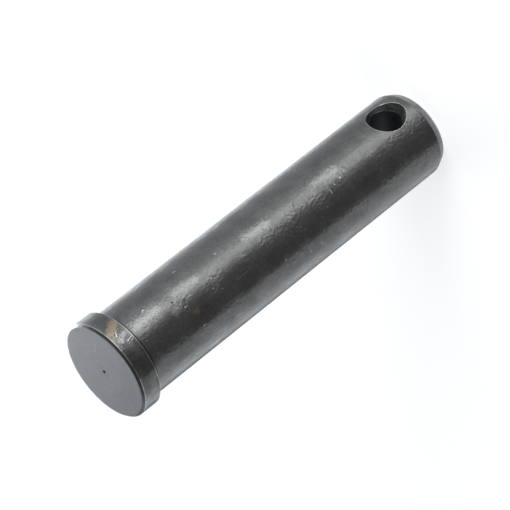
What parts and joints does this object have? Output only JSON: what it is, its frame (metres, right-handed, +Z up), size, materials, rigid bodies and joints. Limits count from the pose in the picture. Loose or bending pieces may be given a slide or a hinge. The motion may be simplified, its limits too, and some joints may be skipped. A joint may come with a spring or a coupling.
{
  "type": "clevis pin",
  "caption": "Headed clevis pin in blackened steel, with a plain shank, a chamfered lead and a countersunk cross hole for a split pin near its plain end.",
  "frame": {"origin": "centre of the plain end's face, which the pin stands on", "axes": "+Z up the axis of the pin towards the head, +Y along the cross hole"},
  "size_m": [0.028, 0.028, 0.116],
  "materials": {
    "blackened_steel": "turned and ground, hot blackened, lightly oiled, semi-gloss"
  },
  "bodies": {
    "root": {"clevis_pin": "blackened_steel"}
  },
  "joints": []
}
